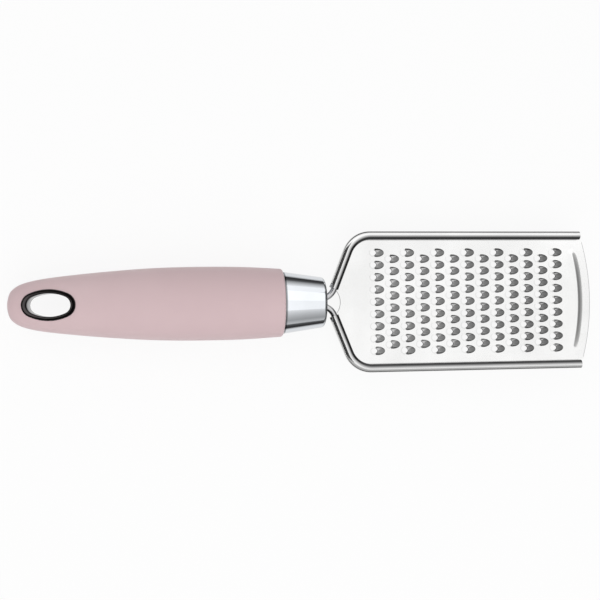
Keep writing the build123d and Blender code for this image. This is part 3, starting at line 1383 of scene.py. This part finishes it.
    def add_notch(self, skin: Skin, ends: Run) -> Run:
        """Adds the round notch's edge.

        Args:
            skin: The mesh to add to.
            ends: The vertices where the rolled edges start, the right one first.

        Returns:
            The run of vertices from the right to the left.
        """
        start = self.notch_start(-self.edge_margin)
        half_turn = math.atan2(start.y, start.x - self.notch_x)
        wider = 1 + self.cut_edge_shade_width / self.notch_radius
        edge, inside = [], []
        for step in range(1, self.notch_steps):
            turn = -half_turn + 2 * half_turn * step / self.notch_steps
            x, y = self.notch_radius * math.cos(turn), self.notch_radius * math.sin(turn)
            edge.append(self.at((self.notch_x + x, y)))
            inside.append(self.at((self.notch_x + x * wider, y * wider)))
        return self.add_painted_edge_shade(skin, ends, edge, inside)

    def add_teeth(self, skin: Skin) -> list[Run]:
        """Adds the punched teeth.

        Args:
            skin: The mesh to add to.

        Returns:
            The loops of vertices where the teeth meet the plate.
        """
        feet = []
        for x, y in self.tooth_places():
            loops = []
            for points, painted_shades in self.tooth.rows():
                places = [self.at((x + px, y + py), rise) for px, py, rise in points]
                loops.append(skin.loop(places, painted_shades))
            skin.bridge_all(loops)
            feet.append(loops[-1])
        return feet

    def add_bead(self, skin: Skin) -> Run:
        """Adds the pressed bead.

        Args:
            skin: The mesh to add to.

        Returns:
            The loop of vertices where the bead meets the plate.
        """
        radius = self.tip_radius - self.bead_inset
        bead = Bead(self.tip_x - self.tip_radius, radius, math.asin(self.bead_length / 2 / radius))
        loops = [skin.loop([self.at((x, y), rise) for x, y, rise in row]) for row in bead.rows()]
        skin.bridge_all(loops)
        return loops[-1]

    def build(self, material: bpy.types.Material) -> bpy.types.Object:
        """Makes the blade as one thin sheet and gives it its thickness.

        Args:
            material: The blade's material.

        Returns:
            The blade's object.
        """
        skin = Skin()
        feet = self.add_rolls(skin)
        tip = self.add_tip(skin)
        notch = self.add_notch(skin, [feet[-1][0], feet[1][0]])
        outline = [*feet[1], *tip, *reversed(feet[-1]), *notch[1:-1]]
        skin.fill([outline, *self.add_teeth(skin), self.add_bead(skin)])
        made = skin.finish("toothed_blade", material)
        thicken(made, SHEET)
        shade(made, sharp_over=42)
        return made

    def tooth_places(self) -> list[Pair]:
        """Middles of the punched holes, in staggered columns.

        Returns:
            Places in plan.
        """
        places = []
        for column in range(self.columns):
            rows = self.rows - column % 2
            for row in range(rows):
                places.append((
                    self.first_column_x + column * self.column_pitch,
                    (row - (rows - 1) / 2) * self.row_pitch,
                ))
        return places


# Stage


@dataclass(frozen=True)
class PhotoCamera:
    """Camera at the photograph's viewing angle."""

    location: Triple = (-0.06303, -0.00371, 0.38829)
    aim: Triple = (-0.00525, 0.00103, 0.01390)
    roll_degrees: float = -0.703
    lens: float = 57.0
    sensor: float = 36.0
    clip_start: float = 0.01

    def build(self) -> None:
        """Places the camera and makes it the scene's own."""
        data = bpy.data.cameras.new("photo_camera")
        data.lens = self.lens
        data.sensor_width = self.sensor
        data.clip_start = self.clip_start
        camera = add_object("photo_camera", data)
        forward = (Vector(self.aim) - Vector(self.location)).normalized()
        level_right = forward.cross(Vector((0, 1, 0))).normalized()
        level_up = level_right.cross(forward)
        roll = math.radians(self.roll_degrees)
        right = level_right * math.cos(roll) + level_up * math.sin(roll)
        up = right.cross(forward)
        turn = Matrix((right, up, -forward)).transposed()
        camera.matrix_world = Matrix.Translation(self.location) @ turn.to_4x4()
        bpy.context.scene.camera = camera


@dataclass(frozen=True)
class Card:
    """A flat studio card that only shows in reflections."""

    name: str
    centre: Triple
    facing: Triple
    width: float
    height: float
    low_level: float
    high_level: float

    def build(self) -> None:
        """Makes the card, which glows from its low level at the foot to its high level on top."""
        material, space = bare_material(self.name)
        half_height = self.height / 2
        level = space.range(space.own_y(), -half_height, half_height, self.low_level, self.high_level)
        glow = space.add("ShaderNodeEmission", {"Strength": level})
        space.add("ShaderNodeOutputMaterial", {"Surface": glow.outputs["Emission"]})
        made = add_sheet(self.name, self.width / 2, half_height, material)
        turn = Vector(self.facing).to_track_quat("Z", "Y").to_matrix().to_4x4()
        made.matrix_world = Matrix.Translation(self.centre) @ turn
        made.visible_camera = False
        made.visible_diffuse = False
        made.visible_shadow = False
        made.visible_transmission = False


@dataclass(frozen=True)
class Lamp:
    """A soft square lamp that faces the tool and stays out of reflections."""

    name: str
    location: Triple
    size: float
    power: float

    def build(self) -> None:
        """Makes the lamp."""
        data = bpy.data.lights.new(self.name, "AREA")
        data.shape = "SQUARE"
        data.size = self.size
        data.energy = self.power
        lamp = add_object(self.name, data)
        lamp.location = self.location
        lamp.rotation_euler = (-Vector(self.location)).to_track_quat("-Z", "Y").to_euler()
        lamp.visible_glossy = False


@dataclass(frozen=True)
class Studio:
    """Floor, world, lamps and cards.

    Reflections see the floor in two parts: a bright strip under the tool, and past it a slow rise from dark.
    """

    background: Triple = (1.0, 1.0, 1.0)
    world_level: float = 0.59
    floor_half: float = 1.5
    floor_color: Triple = (0.90, 0.90, 0.90)
    floor_glow_share: float = 0.88
    near_floor_level: float = 0.78
    near_floor_fade: Pair = (0.036, 0.056)
    dark_floor_level: float = 0.03
    far_floor_level: float = 0.26
    far_floor_rise: Pair = (0.060, 0.450)

    def build(self) -> None:
        """Makes everything round the tool but the camera."""
        self.build_world()
        self.build_floor()
        for item in (
            # Name, place, size of the face and power.
            Lamp("key_lamp", (0.05, -0.55, 0.75), 0.9, 3.45),
            Lamp("fill_lamp", (-0.25, 0.45, 0.85), 0.8, 1.6),
            # Name, centre, direction, width, height, and the levels at the foot and on top.
            Card("left_flag", (0.0, 0.55, 0.11), (0, -1, 0), 1.6, 0.22, 0.26, 0.86),
            Card("left_glow", (0.12, 0.40, 0.66), (-0.12, -0.40, -0.65), 1.2, 0.50, 1.12, 1.12),
            Card("right_low", (0.0, -0.55, 0.09), (0, 1, 0), 1.6, 0.18, 0.54, 0.34),
            Card("right_high", (0.0, -0.55, 0.56), (0, 1, 0), 1.6, 0.76, 0.34, 0.80),
            Card("tip_flag", (0.70, 0.0, 0.46), (-0.80, 0, -0.60), 1.45, 0.60, 0.10, 0.48),
            Card("tip_low_flag", (0.86, 0.0, 0.15), (-1, 0, 0), 1.6, 0.30, 0.08, 0.10),
            Card("tail_flag", (-0.45, 0.0, 0.42), (0.73, 0, -0.68), 0.9, 0.84, 0.03, 0.06),
        ):
            item.build()

    def build_world(self) -> None:
        """Plain pale world, white where the camera or a reflection sees it."""
        world = bpy.data.worlds.new("studio_world")
        bpy.context.scene.world = world
        world.use_nodes = True
        world.node_tree.nodes.clear()
        space = NodeSpace(world.node_tree)
        light, seen = [
            space.add("ShaderNodeBackground", {"Color": (*self.background, 1.0), "Strength": level})
            for level in (self.world_level, 1.0)
        ]
        path = space.add("ShaderNodeLightPath")
        share = space.compute("MAXIMUM", path.outputs["Is Camera Ray"], path.outputs["Is Glossy Ray"])
        share = space.compute("MAXIMUM", share, path.outputs["Is Transmission Ray"])
        backgrounds = (light.outputs["Background"], seen.outputs["Background"])
        space.put_out("ShaderNodeOutputWorld", share, *backgrounds)

    def build_floor(self) -> None:
        """Pale floor under the tool, near white to the camera, with a soft shadow left on it."""
        material, space = bare_material("pale_floor")
        aside = space.compute("ABSOLUTE", space.own_y())
        near = space.range(aside, *self.near_floor_fade, self.near_floor_level, 0.0)
        far = space.range(aside, *self.far_floor_rise, self.dark_floor_level, self.far_floor_level)
        path = space.add("ShaderNodeLightPath")
        camera, glossy = path.outputs["Is Camera Ray"], path.outputs["Is Glossy Ray"]
        level = space.compute("MAXIMUM", camera, space.compute("MAXIMUM", near, far))
        share = space.compute("MULTIPLY", camera, self.floor_glow_share)
        share = space.compute("MAXIMUM", share, glossy)
        matte = space.add("ShaderNodeBsdfDiffuse", {"Color": (*self.floor_color, 1.0)})
        glow = space.add("ShaderNodeEmission", {"Color": (*self.background, 1.0), "Strength": level})
        space.put_out("ShaderNodeOutputMaterial", share, matte.outputs["BSDF"], glow.outputs["Emission"])
        floor = add_sheet("floor", self.floor_half, self.floor_half, material)


def main() -> None:
    """Builds the tool and its studio."""
    logging.basicConfig(level=logging.INFO, format="%(name)s: %(message)s")
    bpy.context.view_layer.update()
    bpy.context.scene.view_settings.view_transform = "Standard"
    polish = build_polish_group()
    skin = build_skin_group()

    blade_low, blade_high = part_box("blade")
    rod_low, rod_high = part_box("left_frame_rod")
    radius = (rod_high.z - rod_low.z) / 2
    axis_z = (rod_high.z + rod_low.z) / 2
    rod_y = rod_low.y + radius
    roll_radius = axis_z - blade_low.z - SHEET / 2
    bend_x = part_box("ferrule")[1].x - BEND_INSIDE_FERRULE
    path = FramePath(
        side_y=blade_high.y - roll_radius - SHEET / 2,
        leg_x=bend_x + Rod.bend_radius * math.sin(FramePath.leg_turn),
        leg_y=rod_y + Rod.bend_radius * (1 - math.cos(FramePath.leg_turn)),
        end_x=rod_high.x + SIDE_PAST_ROD,
    )

    form = GripForm()
    hole = HangHole(form)
    plating = RING_PLATING.build(polish)
    rod_steel = ROD_STEEL.build(polish)
    settle(Grip(form).build(GRIP_SKIN.build(skin), hole), "grip_soft", "soft_grip")
    settle(hole.ring(1, "hang_ring_plating_front", plating), "ring_plated", "hang_ring_front")
    settle(hole.ring(-1, "hang_ring_plating_back", plating), "ring_plated", "hang_ring_back")
    settle(Ferrule().build(FERRULE_METAL.build(polish)), "ferrule_metal", "ferrule")
    rod = Rod(replace(path, end_x=rod_high.x), rod_low.x, rod_y, radius, axis_z)
    settle(rod.build(1, "left_rod_steel", rod_steel), "rod_steel", "left_frame_rod")
    settle(rod.build(-1, "right_rod_steel", rod_steel), "rod_steel", "right_frame_rod")
    blade = Blade(path, axis_z, roll_radius)
    settle(blade.build(BLADE_STEEL.build(polish)), "blade_steel", "blade")
    for node, finish in (("tang_plug", PLUG_PLASTIC), ("handle_core", CORE_PLASTIC)):
        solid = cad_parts[node]
        solid.data.materials.clear()
        solid.data.materials.append(finish.build(skin))

    PhotoCamera().build()
    Studio().build()
    bpy.context.view_layer.update()


if __name__ == "__main__":
    main()
